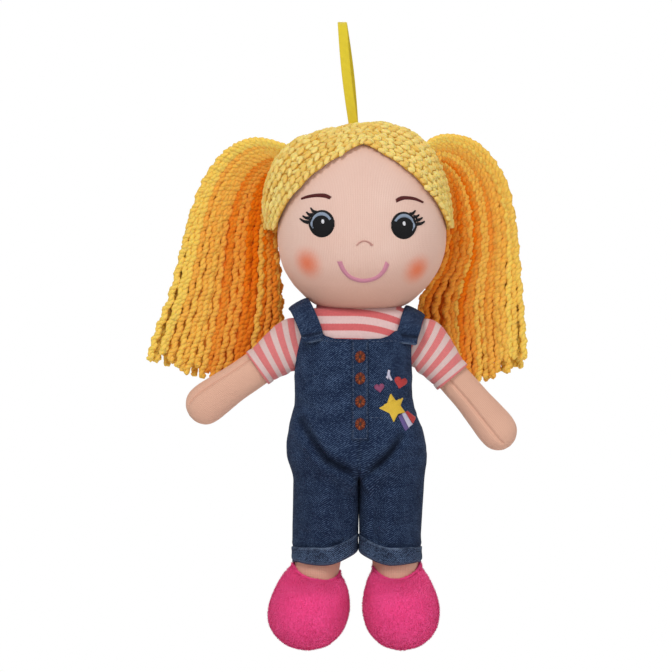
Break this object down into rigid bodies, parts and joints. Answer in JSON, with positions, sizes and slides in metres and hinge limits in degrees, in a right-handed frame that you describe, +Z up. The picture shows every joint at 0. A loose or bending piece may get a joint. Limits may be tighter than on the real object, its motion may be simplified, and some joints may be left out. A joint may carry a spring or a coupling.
{
  "type": "rag doll",
  "caption": "Soft stuffed cloth doll with yarn ponytails, striped shirt, denim dungarees and plush shoes, hanging by a ribbon loop; arms, legs and head bend",
  "frame": {"origin": "top of the hanging ribbon loop, where a hook or peg holds the doll", "axes": "+Z up along the hanging doll; the face looks towards -Y; +X is to the right of a viewer who faces it"},
  "size_m": [0.2152, 0.085, 0.3586],
  "materials": {
    "ribbon": "woven satin ribbon",
    "skin": "peach knit fabric",
    "cap_yarn": "pale yellow chunky yarn",
    "ponytail_yarn": "golden crinkled yarn",
    "eyes": "black satin stitch",
    "brows": "dark brown satin stitch",
    "smile": "pink satin stitch",
    "jersey": "coral and pale striped jersey",
    "denim": "dark blue denim twill",
    "buttons": "brown satin stitch",
    "gold": "gold satin stitch",
    "red": "red satin stitch",
    "lilac": "lilac satin stitch",
    "pale": "white satin stitch",
    "plush": "hot pink short plush",
    "fibre": "white polyester fibre fill"
  },
  "bodies": {
    "loop": {"hanging_loop": "ribbon"},
    "head": {"head_front": "skin", "head_back": "skin", "head_stuffing": "fibre", "hair_cap": "cap_yarn", "eye_left": "eyes", "eye_right": "eyes", "brow_left": "brows", "brow_right": "brows", "nose": "smile", "mouth": "smile"},
    "torso": {"neck": "skin", "torso_stuffing": "fibre", "torso_skin": "skin", "shirt": "jersey", "overalls_front": "denim", "overalls_back": "denim", "strap_left": "denim", "strap_right": "denim", "placket": "denim", "button_1": "buttons", "button_2": "buttons", "button_3": "buttons", "button_4": "buttons", "star": "gold", "heart": "red", "dot": "red", "spark": "pale", "star_tail": "lilac"},
    "ponytail_left": {"ponytail_left": "ponytail_yarn", "tie_left": "ponytail_yarn"},
    "arm_left": {"sleeve_left": "jersey", "arm_skin_left": "skin", "arm_stuffing_left": "fibre"},
    "leg_left": {"trouser_left": "denim", "cuff_left": "denim", "leg_skin_left": "skin", "leg_stuffing_left": "fibre", "shoe_upper_left": "plush", "shoe_sole_left": "plush", "foot_stuffing_left": "fibre"},
    "ponytail_right": {"ponytail_right": "ponytail_yarn", "tie_right": "ponytail_yarn"},
    "arm_right": {"sleeve_right": "jersey", "arm_skin_right": "skin", "arm_stuffing_right": "fibre"},
    "leg_right": {"trouser_right": "denim", "cuff_right": "denim", "leg_skin_right": "skin", "leg_stuffing_right": "fibre", "shoe_upper_right": "plush", "shoe_sole_right": "plush", "foot_stuffing_right": "fibre"}
  },
  "joints": [
    {"name": "ribbon_swing", "type": "hinge", "parent": "loop", "child": "head", "pos_m": [0.0065, 0, -0.0572], "axis": [1, 0, 0], "range_deg": [-35, 35]},
    {"name": "neck_nod", "type": "hinge", "parent": "head", "child": "torso", "pos_m": [0.0095, 0, -0.158], "axis": [-1, 0, 0], "range_deg": [-4, 20], "stiffness_Nm_per_rad": 0.15},
    {"name": "ponytail_left_swing", "type": "hinge", "parent": "head", "child": "ponytail_left", "pos_m": [-0.0358, 0.005, -0.0775], "axis": [0, 1, 0], "range_deg": [0, 70]},
    {"name": "ponytail_right_swing", "type": "hinge", "parent": "head", "child": "ponytail_right", "pos_m": [0.0594, 0.005, -0.0775], "axis": [0, -1, 0], "range_deg": [0, 70]},
    {"name": "shoulder_left", "type": "hinge", "parent": "torso", "child": "arm_left", "pos_m": [-0.0265, 0, -0.182], "axis": [0, 1, 0], "range_deg": [-40.5, 54.5], "stiffness_Nm_per_rad": 0.05},
    {"name": "shoulder_right", "type": "hinge", "parent": "torso", "child": "arm_right", "pos_m": [0.0455, 0, -0.182], "axis": [0, -1, 0], "range_deg": [-23.5, 71.5], "stiffness_Nm_per_rad": 0.05},
    {"name": "hip_left", "type": "hinge", "parent": "torso", "child": "leg_left", "pos_m": [-0.0091, -0.005, -0.254], "axis": [-1, 0, 0], "range_deg": [-15, 90], "stiffness_Nm_per_rad": 0.1},
    {"name": "hip_right", "type": "hinge", "parent": "torso", "child": "leg_right", "pos_m": [0.0281, -0.005, -0.254], "axis": [-1, 0, 0], "range_deg": [-15, 90], "stiffness_Nm_per_rad": 0.1}
  ]
}
